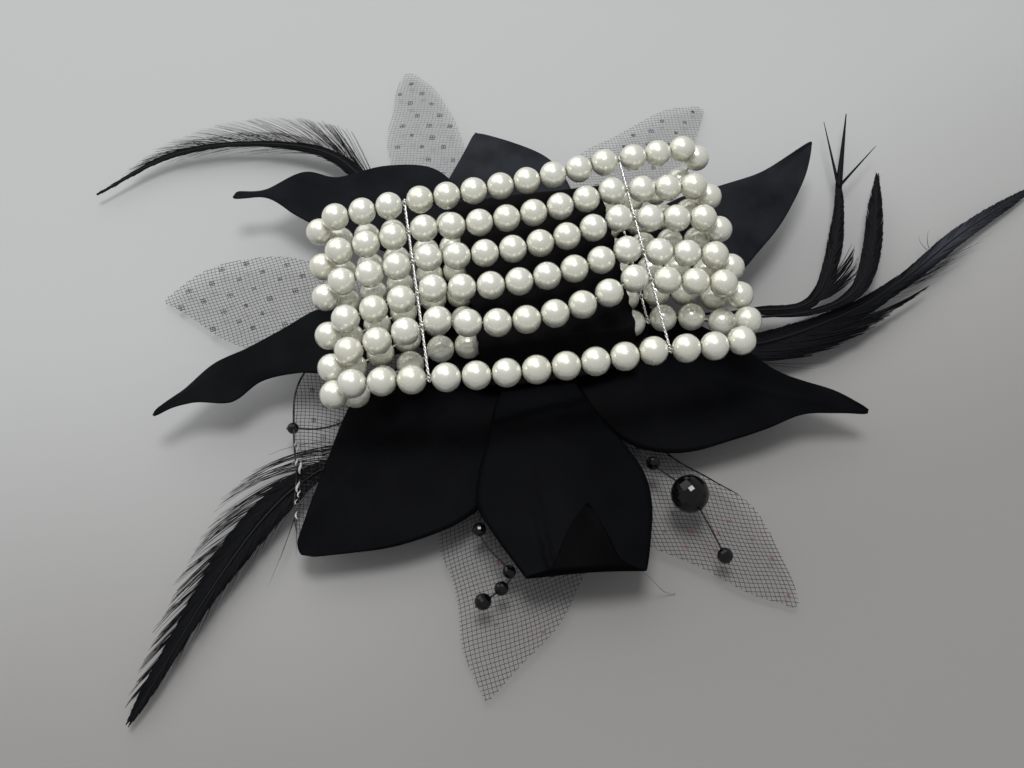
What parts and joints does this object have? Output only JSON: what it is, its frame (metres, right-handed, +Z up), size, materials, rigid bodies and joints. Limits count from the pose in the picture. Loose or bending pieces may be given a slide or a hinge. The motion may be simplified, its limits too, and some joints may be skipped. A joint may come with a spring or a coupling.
{
  "type": "wrist corsage",
  "caption": "Wrist corsage: a black fabric flower with net petals, feathers and bead sprays on a multi-strand elastic pearl bracelet that opens from flat to a loop.",
  "frame": {"origin": "on the table, under the middle of the bracelet, on the flat face of the flower centre", "axes": "+X along the pearl strands, +Y across them, +Z up from the table through the flower to the bracelet"},
  "size_m": [0.2412, 0.1762, 0.0361],
  "materials": {
    "pearl": "ivory pearl coating",
    "felt": "matte felt",
    "satin": "matte satin with a fine weave",
    "tulle": "open net with small dots",
    "feather": "dyed feather",
    "jet": "glossy facets",
    "black_wire": "enamelled",
    "glue": "hot-melt glue"
  },
  "bodies": {
    "flower": {"base_strand_1": "pearl", "base_strand_2": "pearl", "base_strand_3": "pearl", "base_strand_4": "pearl", "base_strand_5": "pearl", "base_strand_6": "pearl", "backing_felt": "felt", "cover_patch": "felt", "front_felt": "felt", "flower_centre": "satin", "inner_blossom": "satin", "glue_core": "glue", "outer_petal_1": "satin", "outer_petal_2": "satin", "outer_petal_3": "satin", "outer_petal_4": "satin", "outer_petal_5": "satin", "outer_petal_6": "satin", "outer_petal_7": "satin", "net_petal_1": "tulle", "net_petal_2": "tulle", "net_petal_3": "tulle", "net_petal_4": "tulle", "net_petal_5": "tulle", "net_petal_6": "tulle", "feather_1": "feather", "feather_2": "feather", "feather_3": "feather", "feather_4": "feather", "feather_5": "feather", "spray_wire_1": "black_wire", "spray_wire_2": "black_wire", "spray_wire_3": "black_wire", "spray_bead_1": "jet", "spray_bead_2": "jet", "spray_bead_3": "jet", "spray_bead_4": "jet", "spray_bead_5": "jet", "spray_bead_6": "jet", "spray_bead_7": "jet", "spray_bead_8": "jet"},
    "lower_left": {"lower_left_rows": "pearl"},
    "upper_left": {"upper_left_rows": "pearl"},
    "top_run": {"top_strand_1": "pearl", "top_strand_2": "pearl", "top_strand_3": "pearl", "top_strand_4": "pearl", "top_strand_5": "pearl", "top_strand_6": "pearl"},
    "lower_right": {"lower_right_rows": "pearl"},
    "upper_right": {"upper_right_rows": "pearl"}
  },
  "joints": [
    {"name": "band_open", "type": "hinge", "parent": "flower", "child": "lower_left", "pos_m": [-0.0217, 0, 0.02], "axis": [0, 1, 0], "range_deg": [0, 50]},
    {"name": "left_fold", "type": "hinge", "parent": "lower_left", "child": "upper_left", "pos_m": [-0.04532, 0, 0.02657], "axis": [0, 1, 0], "range_deg": [-100, 0]},
    {"name": "top_run_hinge", "type": "hinge", "parent": "upper_left", "child": "top_run", "pos_m": [-0.0217, 0, 0.03315], "axis": [0, 1, 0], "range_deg": [0, 50]},
    {"name": "right_lower_hinge", "type": "hinge", "parent": "flower", "child": "lower_right", "pos_m": [0.0217, 0, 0.02], "axis": [0, -1, 0], "range_deg": [0, 50]},
    {"name": "right_fold", "type": "hinge", "parent": "lower_right", "child": "upper_right", "pos_m": [0.04532, 0, 0.02657], "axis": [0, -1, 0], "range_deg": [-100, 0]}
  ],
  "couplings": [
    {"joint": "left_fold", "follows": "band_open", "ratio": -2},
    {"joint": "top_run_hinge", "follows": "band_open", "ratio": 1},
    {"joint": "right_lower_hinge", "follows": "band_open", "ratio": 1},
    {"joint": "right_fold", "follows": "band_open", "ratio": -2}
  ]
}
